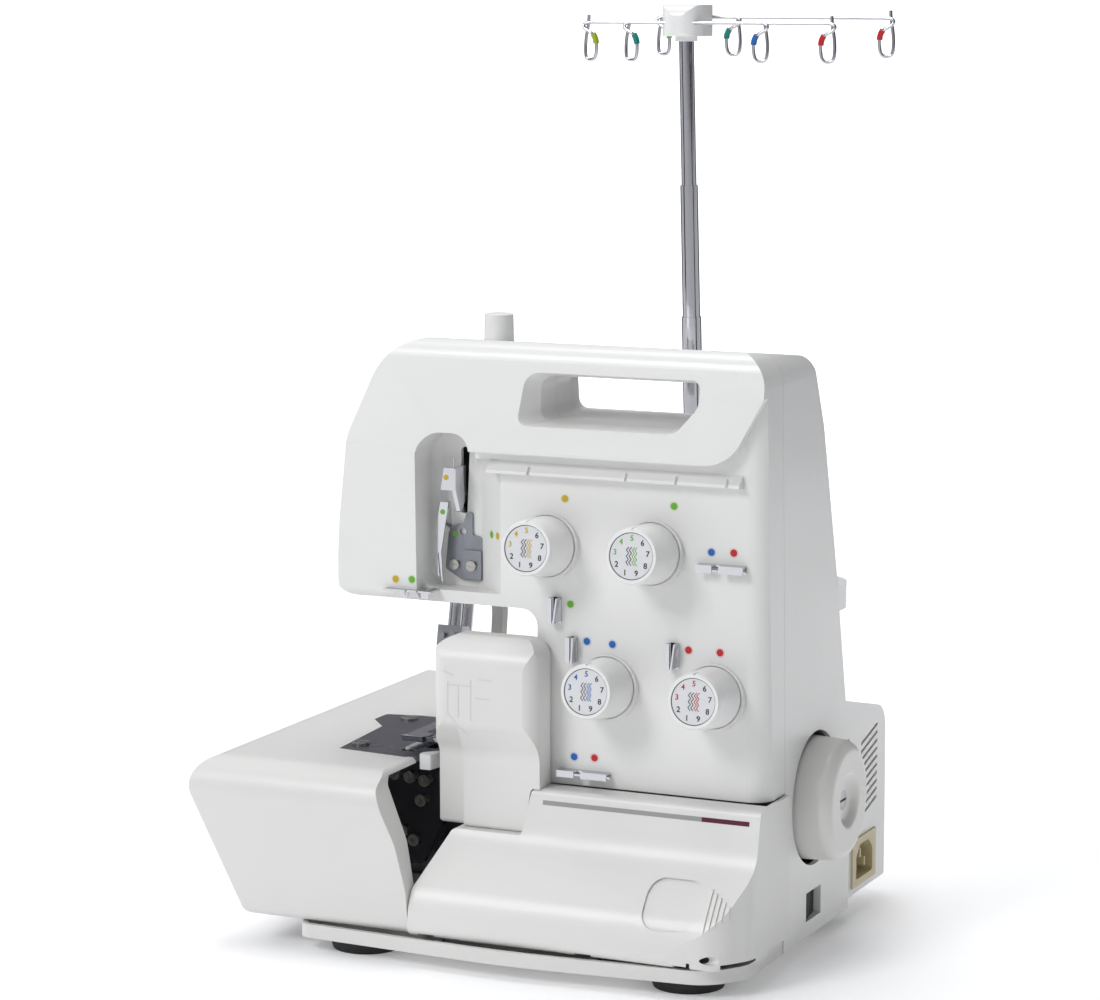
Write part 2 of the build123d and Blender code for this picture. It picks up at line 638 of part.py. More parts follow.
def plate_screws():
    made = []
    for x, y in PLATE_SCREWS:
        head = rod((x, y, TABLE_TOP), (x, y, TABLE_TOP + 1.2), 4.4)
        shank = rod((x, y, 88.3), (x, y, TABLE_TOP + 0.5), 1.9)
        made.append(together([head, shank]) - block(x - 5, x + 5, y - 0.6, y + 0.6, TABLE_TOP + 0.5, 94))
    return made


def feed_dog():
    """Two toothed bars on one block that slides in the frame's guide."""
    bars = []
    for x in (-60, -56):
        bars.append(block(x, x + 2.2, -63, -31, 88.6, TABLE_TOP - 0.2))
        bars.append(block(x, x + 2.2, -54.5, -31, 76, 89))
        for i in range(15):
            y = -62.5 + 2.1 * i
            low, high = TABLE_TOP - 0.4, TABLE_TOP + 0.9
            tooth = outline((y, low, 0), (y + 1.9, low, 0), (y + 1.6, high, 0))
            bars.append(along_x(tooth, x, x + 2.2))
    stem = block(-60, -53.8, -50, -40, 60, 73)
    return together([*bars, block(-60, -53.8, -54.5, -31, 72, 77), stem])


def lower_knife():
    return along_x(outline((-54, 79, 0), (-44, 79, 0), (-44, 91, 0), (-54, 90.4, 0)), -38.35, -36.6)


def upper_knife():
    blade = along_x(outline((-55, 91.5, 0), (-45, 93.5, 0), (-45, 112, 1), (-51, 112, 1)), -36.3, -34.9)
    arm = block(-36, -31, -53, -47, 96, 112)
    post = rod((-33, -50, 34), (-33, -50, 100), 2.5)
    return together([blade, arm, post])


def bay_plate():
    """Black plate that closes the front of the stitching area under the needle plate."""
    face = outline((-84, 88, 0), (-38.6, 88, 0), (-38.6, 60, 4), (-52, 34, 4), (-84, 34, 4))
    body = along_y(face, -60, -56.6)
    for x, z in BAY_SCREWS:
        body -= rod((x, -62, z), (x, -50, z), 1.6)
    return body


def bay_screws():
    made = []
    for x, z in BAY_SCREWS:
        head = rod((x, -62.2, z), (x, -60, z), 2.9) - rod((x, -63, z), (x, -61, z), 1.3)
        made.append(together([head, rod((x, -60.5, z), (x, -57, z), 1.6)]))
    return made


def looper(place, y, reach):
    """A shaft in the frame with a flat curved arm that ends in a slim point."""
    x, z = place
    hub = rod((x, y - 4, z), (x, y + 2, z), 6)
    shaft = rod((x, y - 4, z), (x, -11, z), 3)
    tip_x, tip_z = reach
    arm = outline(
        (x - 4, z + 1, 2), (tip_x + 6, z + 14, 8), (tip_x - 2, tip_z, 0.5), (tip_x + 1.6, tip_z - 1, 0.5),
        (tip_x + 14, z + 17, 9), (x + 3, z + 5, 2), (x + 3, z - 3, 2),
    )
    return together([hub, shaft, along_y(arm, y - 3, y)])


def stitch_dial():
    x, z = STITCH_DIAL
    knob = rod((x, -60, z), (x, -50, z), 13) - rod((x, -61, z), (x, -58.5, z), 9)
    body = together([knob, block(x - 1.5, x + 1.5, -60, -57, z - 9, z + 9), rod((x, -51, z), (x, -40, z), 3)])
    for i in range(12):
        body -= Pos(x, -55, z) * Rot(0, 30 * i, 0) * Pos(13, 0, 0) * Rot(90, 0, 0) * Cylinder(1.6, 8)
    return body


def finger_tab():
    """Small tab beside the needle plate that moves the stitch finger."""
    plan = outline((-45, -77, 1), (-39, -77, 1), (-37.6, -68.5, 0), (-39.4, -66.5, 0), (-45, -72.2, 0))
    return along_z(plan, 85.5, 92.8)


# ---- Cloth plate ----
def table_envelope(t):
    front = outline(
        (-121, SKIRT, 6), (-152.5, TABLE_TOP, 13), (-46, TABLE_TOP, 3), (-47, 84, 6), (-37, 58, 20),
        (-33.4, 36, 8), (-33.4, SKIRT, 0),
    )
    side = outline(
        (-112, SKIRT, 6), (-124, TABLE_TOP, 16), (123, TABLE_TOP, 8), (117, 36, 8), (100, SKIRT, 10),
    )
    plan = outline((-152.5, -130, 24), (-160, 130, 16), (-25, 130, 0), (-25, -130, 0))
    solid = along_y(grown(front, -t), -130, 130) & along_x(grown(side, -t), -170, 0)
    return solid & along_z(grown(plan, -t), 0, 120)


def cloth_plate():
    """Wide table round the needle plate, open below, with a boss for its hinge pin."""
    body = table_envelope(0) - table_envelope(WALL)
    body -= block(-118.5, -20, -106, 111, 0, TABLE_TOP - WALL)
    body -= block(-74, -20, 105, 140, 0, TABLE_TOP - WALL)
    body -= block(-118, -36.5, -107.5, 111, 0, SKIRT + WALL)
    body -= along_z(grown(plate_edge(), 0.4), 60, 120)
    body -= block(-60, 0, 0, 140, 60, 120)
    body -= block(-59, 0, -77, 140, 60, 120)
    body = body.solids().sort_by(SortBy.VOLUME)[-1]
    boss = rod((SWING_X, SWING_Y, 62), (SWING_X, SWING_Y, TABLE_TOP - WALL), 6)
    return together([body, boss]) - rod((SWING_X, SWING_Y, 60), (SWING_X, SWING_Y, 88), 3 + RUN)


def table_hinge():
    """Bracket on the base with the upright pin that the cloth plate swings on."""
    base = together([block(-72, -60.6, 26, 104, 16, 20), block(-72, -55, 98, 114, 16, 20)])
    return together([base, rod((SWING_X, SWING_Y, 18), (SWING_X, SWING_Y, 86), 3)])


# ---- Looper cover ----
def cover_envelope(t):
    side = outline(
        (-30, SKIRT, 0), (-115.5, SKIRT, 5), (-113, 32, 26), (-89, 62, 26), (-84.5, 83.6, 3), (-30, 83.6, 0),
    )
    front = outline(
        (COVER_LEFT, SKIRT, 2), (COVER_RIGHT, SKIRT, 0), (COVER_RIGHT, 83.6, 0), (18, 83.6, 2),
        (14.4, 62, 2), (-21, 62, 3), (COVER_LEFT, 36, 8),
    )
    plan = outline(
        (COVER_LEFT - 3, -30, 0), (COVER_LEFT - 3, -116, 0), (60, -119, 200), (121, -112, 22),
        (COVER_RIGHT, -94, 16), (COVER_RIGHT, -30, 0),
    )
    solid = along_x(grown(side, -t), -60, 150) & along_y(grown(front, -t), -130, -20)
    return solid & along_z(grown(plan, -t), 0, 120)


def cover_shell():
    body = cover_envelope(0) - cover_envelope(WALL)
    body -= block(-60, BODY_RIGHT + 0.3, -71.5, 0, 0, 120)
    body -= block(-60, COVER_RIGHT - 0.01, -108, -71.4, 0, SKIRT + WALL + 0.1)
    body -= block(BODY_RIGHT - 3, 150, SEAM_Y - 0.6, 0, 0, 120)
    body -= block(BODY_RIGHT + 0.3, 150, -75, 0, 0, 16)
    return body.solids().sort_by(SortBy.VOLUME)[-1]


def grip_ribs():
    """Five upright ribs in a triangle at the right of the finger recess."""
    skin = cover_envelope(-0.8) - cover_envelope(0.6)
    ribs = []
    for i in range(5):
        x = 114.5 + 2.5 * i
        half = 8.6 - 1.5 * i
        ribs.append(block(x, x + 1.2, -125, -90, 41 - half, 41 + half) & skin)
    return ribs


def looper_cover():
    """Front door with a finger recess, moulded ribs and three hinge ears."""
    face = outline((84, 30, 8), (112, 32, 8), (112, 52, 8), (84, 52, 8))
    well = along_y(face, -130, -95) & (cover_envelope(0) - cover_envelope(1.2))
    body = cover_shell() - well
    ears = []
    for x in EARS:
        barrel = rod((x, HINGE_Y, HINGE_Z), (x + 4, HINGE_Y, HINGE_Z), 3.8)
        web = block(x, x + 4, -114.2, HINGE_Y, 16, 23)
        ears.append(together([barrel, web]) & cover_envelope(0.5))
    notches = [block(x - SLIDE - 0.5, x + 4.5, HINGE_Y - 3, -100, 13, 17.6) for x in LUGS]
    notches.append(block(20.6, 47.4, HINGE_Y - 2, -100, 13, 17.6))
    for x0, x1 in ((20.6, 25.85), (30.15, 47.4)):
        notches.append(rod((x0, HINGE_Y, HINGE_Z), (x1, HINGE_Y, HINGE_Z), 3.7))
    for notch in notches:
        body -= notch
    body = together([body, *ears, *grip_ribs()])
    return body - rod((-40, HINGE_Y, HINGE_Z), (129, HINGE_Y, HINGE_Z), 2 + RUN)


def guard_envelope(t, foot_y, back_y):
    """The guard's bulging head over a lower part whose front stands at foot_y."""
    face = outline(
        (-32, 62.05, 2), (-32, 154, 13), (22, 154, 9), (22, 83.7, 0), (17.4, 83.7, 2), (14.1, 62.05, 3),
    )
    plan = outline((-32.5, back_y, 0), (-32.5, -93, 12), (22.5, -93, 9), (22.5, back_y, 0))
    side = outline(
        (back_y, 62, 0), (foot_y, 62, 2), (foot_y, 98, 10), (-92.5, 113, 10), (-92.5, 154.5, 15),
        (back_y, 154.5, 0),
    )
    solid = along_y(grown(face, -t), -95, -50) & along_z(grown(plan, -t), 50, 170)
    return solid & along_x(grown(side, -t), -50, 40)


def finger_guard():
    """Tall guard that stands on the cover, with a bulging head and a stepped lower part."""
    shallow, deep = -80.8, -85.0
    step_x = -17.5
    right = block(step_x, 40, -95, -50, 50, 170)
    outer = guard_envelope(0, shallow, -73) + (guard_envelope(0, deep, -73) & right)
    inner = guard_envelope(2.2, shallow, -60)
    inner += guard_envelope(2.2, deep, -60) & (Pos(2.2, 0, 0) * right)
    return outer - inner


def hinge_rod():
    """Fixed rod of the looper cover, in three lugs that stand on the base tray."""
    bar = rod((-26, HINGE_Y, HINGE_Z), (112, HINGE_Y, HINGE_Z), 2)
    lugs = []
    for x in LUGS:
        lugs.append(block(x, x + 4, HINGE_Y - 1.1, -100, HINGE_Z - 1.5, HINGE_Z + 1.5))
        lugs.append(block(x, x + 4, -104, -100, FOOT_H + 2.7, HINGE_Z))
    return together([bar, *lugs])


def cover_carriage():
    """Sleeve that slides along the hinge rod and carries the cover between its collars."""
    sleeve = rod((30.3, HINGE_Y, HINGE_Z), (47, HINGE_Y, HINGE_Z), 3.4)
    collar = rod((21, HINGE_Y, HINGE_Z), (25.7, HINGE_Y, HINGE_Z), 3.4)
    link = block(21, 47, -106.3, -104.6, 17.5, 21)
    arms = [block(x, x + 4, -108.5, -105, 17.5, 21) for x in (21.2, 38)]
    body = together([sleeve, collar, link, *arms])
    return body - rod((10, HINGE_Y, HINGE_Z), (60, HINGE_Y, HINGE_Z), 2 + RUN)


# ---- Tension dials and thread guides on the front ----
def dial(x, z):
    """Tapered dial with a dished face, a sunk tick mark and its stem."""
    def at(reach):
        return dial_point(x, z, reach)

    body = together([rod(at(3.3), at(24.5), 14.3, 12.9), rod(at(24.4), at(DIAL_REACH), 12.9, 12.3)])
    body -= rod(at(DIAL_REACH - 0.7), at(DIAL_REACH + 1), 10.9)
    axis = Plane(Vector(*at(0)), x_dir=(1, 0, 0), z_dir=Vector(*at(1)) - Vector(*at(0))).location
    tick = axis * Pos(0, 12.9, 23) * Box(0.7, 1.6, 6)
    return together([body - tick, rod(at(-22), at(4), 3)])


def tension_units():
    """Pairs of thin discs, a spring and a nut on the rear of each dial's stem."""
    made = []
    for x, z in DIALS.values():
        def at(reach):
            return dial_point(x, z, reach)

        steps = [(-6, -5, 10), (-8, -6, 6), (-9, -8, 10), (-15, -9, 5), (-17, -15, 7), (-20, -17, 5.5)]
        stack = together([rod(at(low), at(high), radius) for low, high, radius in steps])
        made.append(stack - rod(at(-30), at(5), 3 + RUN))
    return made


def hook_plate(x0, x1, z0, z1, upright, reach=5.5):
    """A small bright folded channel that stands off the panel and holds a thread."""
    base = block(x0, x1, PANEL_Y - 0.8, PANEL_Y, z0, z1)
    front = PANEL_Y - reach
    if upright:
        web = block(x0, x0 + 0.8, front, PANEL_Y, z0, z1)
        lip = block(x0, x0 + 2.2, front, front + 0.7, z0, z1)
        edge = outline((x0 + 2.6, z0, 0), (x0 + 3.4, z0, 0), (x1, z1, 0), (x1 - 0.8, z1, 0))
        return together([base, web, lip, along_y(edge, front, PANEL_Y)])
    web = block(x0, x1, front, PANEL_Y, z1 - 0.8, z1)
    lip = block(x0, x1, front, front + 0.8, z0, z1)
    notch = x0 + 0.42 * (x1 - x0)
    return together([base, web, lip]) - block(notch - 1.7, notch + 1.7, front - 1, front + 3, z0 - 1, z1 + 1)


def thread_hooks():
    return [
        hook_plate(21.5, 26.5, 161, 173, True),
        hook_plate(30.7, 34.7, 143, 155, True),
        hook_plate(81, 86, 144, 156, True),
        hook_plate(95.6, 119, 190.6, 194.2, False),
        hook_plate(26, 51.6, 88.4, 91.6, False),
    ]


def thread_ledge():
    """Shelf with four thread notches below the raised upper front."""
    section = outline(
        (PANEL_Y + 1, 236.4, 0), (-75.4, 231.6, 0.5), (-75.7, 230.2, 0.5), (PANEL_Y + 1, 229.4, 0),
    )
    body = along_x(section, -10, 117)
    for x in (11.6, 61, 86, 111):
        body -= block(x - 0.7, x + 0.7, -80, -72.6, 225, 240)
        body -= rod((x, -72.8, 225), (x, -72.8, 240), 1.2)
    return body


def arm_guide():
    """Bright strip with two thread eyes at the lower edge of the arm."""
    strip = block(-62, -37, -80, -70, 171.4, 172.3)
    lips = [block(x, x + 4, -80, -79.1, 168.6, 172) for x in (-53, -42)]
    body = together([strip, *lips])
    for x in (-50, -44):
        body -= block(x - 0.6, x + 0.6, -81, -78, 170, 174)
    return (body - OUTER).solids().sort_by(SortBy.VOLUME)[-1]


# ---- Spool stand and thread pole ----
def spool_stand():
    """Tray behind the column for four spool pins and the foot of the pole."""
    plan = outline((-58, 24, 4), (109, 24, 4), (109, 112, 22), (-58, 112, 22))
    body = along_z(plan, 147, STAND_Z) - along_z(grown(plan, -3), 140, STAND_Z - 3)
    sockets = [rod((x, y, 150), (x, y, STAND_Z), 6) for x, y in PINS]
    sockets.append(rod((POLE_X, POLE_Y, 147), (POLE_X, POLE_Y, STAND_Z + 4), 9))
    body = together([body, *sockets])
    body -= along_x(grown(head_side(), 0.02), -120, 150)
    for x, y in PINS:
        body -= rod((x, y, 152), (x, y, 170), 2.5)
    return body - rod(pole_point(STAND_Z - 12), pole_point(STAND_Z + 20), 4.8)


def pole_point(height):
    return (POLE_X - (height - STAND_Z) * tan(radians(POLE_LEAN)), POLE_Y, height)


def spool_pins():
    made = []
    for x, y in PINS:
        made.append(together([rod((x, y, 152), (x, y, 224), 2.5), rod((x, y, 223.9), (x, y, 226), 2.5, 1.2)]))
    return made


def cone_holders():
    made = []
    for x, y in PINS:
        disc = rod((x, y, STAND_Z), (x, y, STAND_Z + 2), 17)
        cone = rod((x, y, STAND_Z + 2), (x, y, STAND_Z + 26), 11, 6)
        made.append(together([disc, cone]) - rod((x, y, 150), (x, y, 200), 2.5))
    return made


def pole_tubes():
    """The pole's three telescopic parts, outermost first."""
    outer = tube(pole_point(STAND_Z - 12), pole_point(295), 4.8, 4.3 + RUN)
    middle = tube(pole_point(228), pole_point(359), 4.3, 3.65 + RUN)
    inner = rod(pole_point(299), pole_point(HUB_Z), 3.65)
    return outer, middle, inner


def guide_hub():
    """Block on top of the pole that grips the two thread guide wires."""
    left, right = HUB_X - 10.4, HUB_X + 10.4
    front, back = POLE_Y - 12, POLE_Y + 12
    plan = outline((left, front, 9), (right, front, 9), (right, back, 5), (left, back, 5))
    side = outline((front, HUB_Z, 3), (back, HUB_Z, 3), (back, HUB_Z + 15, 4), (front, HUB_Z + 15, 6))
    body = along_z(plan, HUB_Z, HUB_Z + 16) & along_x(side, left - 5, right + 5)
    collar = rod((HUB_X, POLE_Y, HUB_Z - 2.5), (HUB_X, POLE_Y, HUB_Z + 1), 5.4)
    body = together([body, collar]) - rod(pole_point(HUB_Z - 10), pole_point(HUB_Z), 3.65 + RUN)
    for y, z in (FRONT_WIRE, REAR_WIRE):
        body -= rod((HUB_X - 30, y, z), (HUB_X + 30, y, z), WIRE_R)
    return body


def thread_eye(x, y, z):
    """A tall oval eye of slightly finer wire, hanging below (x, y, z)."""
    fine = WIRE_R - 0.1
    sides = [rod((x + side, y, z - 3.6), (x + side, y, z - 14), fine) for side in (-3, 3)]
    top = torus((x, y, z - 3.6), (0, 1, 0), 3, fine) & block(x - 5, x + 5, y - 2, y + 2, z - 3.6, z + 2)
    low = torus((x, y, z - 14), (0, 1, 0), 3, fine) & block(x - 5, x + 5, y - 2, y + 2, z - 20, z - 14)
    return together([*sides, top, low])


def guide_wire(line, loops):
    """A straight wire through the hub with an eye hanging from it at each thread."""
    y, z = line
    wire = rod((min(loops) - 1, y, z), (max(loops) + 1, y, z), WIRE_R)
    return together([wire, *[thread_eye(x, y, z) for x in loops]])


def wire_sleeves():
    """Coloured sleeves that mark the thread paths on the two wires."""
    made = []
    for (y, z), loops in ((FRONT_WIRE, FRONT_LOOPS), (REAR_WIRE, REAR_LOOPS)):
        for x in loops:
            made.append(tube((x + 3, y, z - 4), (x + 3, y, z - 9), 1.5, WIRE_R - 0.1))
    return made


# ---- Write every piece ----
put("base_tray", base_tray())
put("rubber_feet", *rubber_feet())
put("base_screws", *base_screws())
put("frame_casting", frame_casting())
put("front_casing", front_casing())
put("rear_casing", rear_casing())
put("motor_cover", motor_cover())
put("power_inlet", power_inlet())
put("power_switch", power_switch())
put("bushes", *bushes())
put("main_shaft", main_shaft())
put("drive_pulley", pulley(BELT_X, SHAFT_Y, SHAFT_Z, 26, SHAFT_R))
put("drive_belt", drive_belt())
put("handwheel", handwheel())
put("motor", motor())
put("motor_rotor", motor_rotor())
put("needle_bar", needle_bar())
put("needle_clamp", needle_clamp())
put("needles", *needles())
put("presser_bar", presser_bar())
put("foot_holder", foot_holder())
put("foot_pin", foot_pin())
put("presser_foot", presser_foot())
put("presser_lifter", presser_lifter())
put("pivot_pins", *pivot_pins())
put("pressure_knob", pressure_knob())
put("takeup_lever", takeup_lever())
put("takeup_bracket", takeup_bracket())
put("fine_screws", *bracket_screws(), *bay_screws(), *plate_screws())
put("needle_plate", needle_plate())
put("feed_dog", feed_dog())
put("lower_knife", lower_knife())
put("upper_knife", upper_knife())
put("bay_plate", bay_plate())
put("lower_looper", looper(LOW_LOOPER, -21, (-30, 80)))
put("upper_looper", looper(UP_LOOPER, -33, (-25, 84)))
put("stitch_dial", stitch_dial())
put("finger_tab", finger_tab())
put("cloth_plate", cloth_plate())
put("table_hinge", table_hinge())
put("looper_cover", looper_cover())
put("finger_guard", finger_guard())
put("hinge_rod", hinge_rod())
put("cover_carriage", cover_carriage())
for label, (x, z) in DIALS.items():
    put(f"{label}_dial", dial(x, z))
put("tension_units", *tension_units())
put("thread_hooks", *thread_hooks(), arm_guide(), needle_guide())
put("spool_stand", spool_stand())
put("spool_pins", *spool_pins())
put("cone_holders", *cone_holders())
outer_tube, middle_tube, inner_tube = pole_tubes()
put("pole_outer", outer_tube)
put("pole_middle", middle_tube)
put("pole_inner", inner_tube)
put("guide_hub", guide_hub())
put("guide_wires", guide_wire(FRONT_WIRE, FRONT_LOOPS), guide_wire(REAR_WIRE, REAR_LOOPS))
put("wire_sleeves", *wire_sleeves())
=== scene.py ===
"""Looks of the serger: materials, dial scales, colour marks, guard lines, thread wires, camera, light."""
import json
import math

import bmesh
import bpy
from mathutils import Matrix, Vector
from mathutils.bvhtree import BVHTree


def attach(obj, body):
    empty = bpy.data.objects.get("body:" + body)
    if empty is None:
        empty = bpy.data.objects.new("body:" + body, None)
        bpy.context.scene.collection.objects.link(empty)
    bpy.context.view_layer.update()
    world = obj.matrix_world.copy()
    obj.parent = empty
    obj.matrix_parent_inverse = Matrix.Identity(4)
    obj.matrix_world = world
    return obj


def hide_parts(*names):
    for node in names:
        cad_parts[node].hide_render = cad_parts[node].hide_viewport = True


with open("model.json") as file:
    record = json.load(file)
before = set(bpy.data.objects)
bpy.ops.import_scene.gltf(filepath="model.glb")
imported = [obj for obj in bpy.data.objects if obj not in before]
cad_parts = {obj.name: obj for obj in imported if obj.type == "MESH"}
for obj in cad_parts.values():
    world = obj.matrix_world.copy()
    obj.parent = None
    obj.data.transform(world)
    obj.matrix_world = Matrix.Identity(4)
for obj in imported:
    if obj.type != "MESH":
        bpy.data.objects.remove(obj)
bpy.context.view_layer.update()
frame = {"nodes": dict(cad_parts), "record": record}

NODES = frame["nodes"]
JOINTS = {joint["name"]: joint for joint in frame["record"]["behaviour"]["joints"]}
MM = 0.001
SHIFT = Vector((-0.44, -0.39, 0.0))     # the drawing's centre lines to the machine's middle, in mm

YELLOW = (0.60, 0.42, 0.02)
GREEN = (0.16, 0.47, 0.03)
BLUE = (0.01, 0.13, 0.47)
RED = (0.55, 0.01, 0.01)
TEAL = (0.0, 0.24, 0.20)
LIME = (0.35, 0.46, 0.02)
INK = (0.015, 0.015, 0.018)
DIAL_COLOURS = {
    "left_needle": YELLOW, "right_needle": GREEN, "upper_looper": BLUE, "lower_looper": RED,
}


def place(x, y, z):
    """A point given on the drawing's centre lines in mm, in the shared frame in metres."""
    return (Vector((x, y, z)) + SHIFT) * MM


# ---- Materials ----
DRIFT_SCALE = 14.0                # patches of gloss and colour about 70 mm across
GRAIN_SHARE = 0.35                # how much of the roughness follows the fine grain
EDGE_POINTINESS = (0.53, 0.62)    # the pointiness at which an edge starts and ends wearing


def surface(name, colour, rough=(0.25, 0.38), metal=0.0, grain=900.0, bump=0.06, mottle=0.04,
            wear=0.0, stretch=(1, 1, 1), coat=0.0, specular=0.5, depth=0.00008):
    """A procedural finish: fine grain in the bump, drifting gloss and colour, and lighter worn edges.

    rough is the range of the roughness, grain the scale of the fine noise and depth its height in m."""
    made = bpy.data.materials.new(name)
    made.use_nodes = True
    nodes, links = made.node_tree.nodes, made.node_tree.links
    shader = nodes["Principled BSDF"]
    coords = nodes.new("ShaderNodeTexCoord")
    mapping = nodes.new("ShaderNodeMapping")
    mapping.inputs["Scale"].default_value = stretch
    links.new(coords.outputs["Object"], mapping.inputs["Vector"])
    fine = nodes.new("ShaderNodeTexNoise")
    fine.inputs["Scale"].default_value = grain
    fine.inputs["Detail"].default_value = 3.0
    links.new(mapping.outputs["Vector"], fine.inputs["Vector"])
    drift = nodes.new("ShaderNodeTexNoise")
    drift.inputs["Scale"].default_value = DRIFT_SCALE
    drift.inputs["Detail"].default_value = 4.0
    links.new(coords.outputs["Object"], drift.inputs["Vector"])
    gloss = nodes.new("ShaderNodeMapRange")
    gloss.inputs["From Min"].default_value = 0.3
    gloss.inputs["From Max"].default_value = 0.7
    gloss.inputs["To Min"].default_value = rough[0]
    gloss.inputs["To Max"].default_value = rough[1]
    blend = nodes.new("ShaderNodeMath")
    blend.operation = "MULTIPLY_ADD"
    blend.inputs[1].default_value = GRAIN_SHARE
    links.new(fine.outputs["Fac"], blend.inputs[0])
    scaled = nodes.new("ShaderNodeMath")
    scaled.operation = "MULTIPLY"
    scaled.inputs[1].default_value = 1 - GRAIN_SHARE
    links.new(drift.outputs["Fac"], scaled.inputs[0])
    links.new(scaled.outputs["Value"], blend.inputs[2])
    links.new(blend.outputs["Value"], gloss.inputs["Value"])
    links.new(gloss.outputs["Result"], shader.inputs["Roughness"])
    tint = nodes.new("ShaderNodeMix")
    tint.data_type = "RGBA"
    tint.inputs[6].default_value = (*colour, 1)
    tint.inputs[7].default_value = (*[channel * (1 - mottle * 2.2) for channel in colour], 1)
    links.new(drift.outputs["Fac"], tint.inputs[0])
    last = tint.outputs[2]
    if wear:
        edge = nodes.new("ShaderNodeNewGeometry")
        ramp = nodes.new("ShaderNodeMapRange")
        ramp.inputs["From Min"].default_value, ramp.inputs["From Max"].default_value = EDGE_POINTINESS
        ramp.inputs["To Max"].default_value = wear
        links.new(edge.outputs["Pointiness"], ramp.inputs["Value"])
        worn = nodes.new("ShaderNodeMix")
        worn.data_type = "RGBA"
        worn.inputs[7].default_value = (*[min(1.0, channel * 1.25 + 0.03) for channel in colour], 1)
        links.new(ramp.outputs["Result"], worn.inputs[0])
        links.new(last, worn.inputs[6])
        last = worn.outputs[2]
    links.new(last, shader.inputs["Base Color"])
    relief = nodes.new("ShaderNodeBump")
    relief.inputs["Strength"].default_value = bump
    relief.inputs["Distance"].default_value = depth
    links.new(fine.outputs["Fac"], relief.inputs["Height"])
    links.new(relief.outputs["Normal"], shader.inputs["Normal"])
    shader.inputs["Metallic"].default_value = metal
    shader.inputs["Coat Weight"].default_value = coat
    shader.inputs["Coat Roughness"].default_value = 0.12
    shader.inputs["Specular IOR Level"].default_value = specular
    return made


SHELL = surface("shell_plastic", (0.80, 0.80, 0.785), (0.26, 0.38), bump=0.035, mottle=0.012,
                wear=0.12, coat=0.15)
COVER = surface("cover_plastic", (0.76, 0.76, 0.74), (0.30, 0.42), bump=0.035, mottle=0.014,
                wear=0.12, coat=0.1)
TABLE = surface("table_plastic", (0.72, 0.715, 0.70), (0.26, 0.38), bump=0.03, mottle=0.014,
                wear=0.12, coat=0.15)
BASE = surface("base_plastic", (0.72, 0.72, 0.70), (0.36, 0.5), bump=0.2, mottle=0.03, wear=0.15)
WHEEL = surface("wheel_plastic", (0.74, 0.745, 0.71), (0.26, 0.36), bump=0.035, mottle=0.015,
                wear=0.12, coat=0.15)
DIAL = surface("dial_plastic", (0.84, 0.84, 0.83), (0.26, 0.36), bump=0.08, mottle=0.012, wear=0.2, coat=0.2)
PLATE = surface("dial_plate", (0.74, 0.75, 0.77), (0.30, 0.42), bump=0.1, mottle=0.02, grain=1600)
GREY = surface("grey_plastic", (0.62, 0.62, 0.60), (0.36, 0.5), bump=0.15, mottle=0.03)
CREAM = surface("inlet_plastic", (0.62, 0.54, 0.33), (0.32, 0.46), bump=0.12, mottle=0.06, wear=0.2)
BLACK = surface("black_plastic", (0.010, 0.010, 0.013), (0.45, 0.6), bump=0.2, mottle=0.1,
                wear=0.3, specular=0.2)
RUBBER = surface("foot_rubber", (0.012, 0.012, 0.013), (0.55, 0.75), bump=0.5, mottle=0.15, grain=1500)
CHROME = surface("bright_chrome", (0.60, 0.60, 0.63), (0.06, 0.16), 1.0, bump=0.03, mottle=0.03, grain=500)
POLE = surface("pole_chrome", (0.62, 0.62, 0.66), (0.07, 0.15), 1.0, bump=0.04, mottle=0.03,
               stretch=(1, 1, 0.04))
STEEL = surface("brushed_steel", (0.40, 0.40, 0.43), (0.2, 0.38), 1.0, bump=0.12, mottle=0.08, wear=0.3,
                stretch=(0.08, 1, 1))
BED = surface("needle_plate_steel", (0.17, 0.17, 0.20), (0.24, 0.4), 1.0, bump=0.16, mottle=0.08, wear=0.4,
              stretch=(0.06, 1, 1))
SCREW = surface("screw_steel", (0.42, 0.41, 0.38), (0.22, 0.4), 1.0, bump=0.1, mottle=0.1, wear=0.4)
CAST = surface("cast_frame", (0.30, 0.31, 0.33), (0.45, 0.62), 0.7, bump=0.6, mottle=0.12, grain=420,
               wear=0.3, depth=0.0003)
ENAMEL = surface("black_enamel", (0.010, 0.010, 0.018), (0.16, 0.3), bump=0.12, mottle=0.2,
                 wear=0.3, coat=0.5)
BRONZE = surface("bush_bronze", (0.40, 0.26, 0.10), (0.3, 0.45), 1.0, bump=0.2, mottle=0.1)
BRACKET = surface("bracket_grey", (0.26, 0.27, 0.30), (0.28, 0.42), 0.6, bump=0.15, mottle=0.06, wear=0.4)

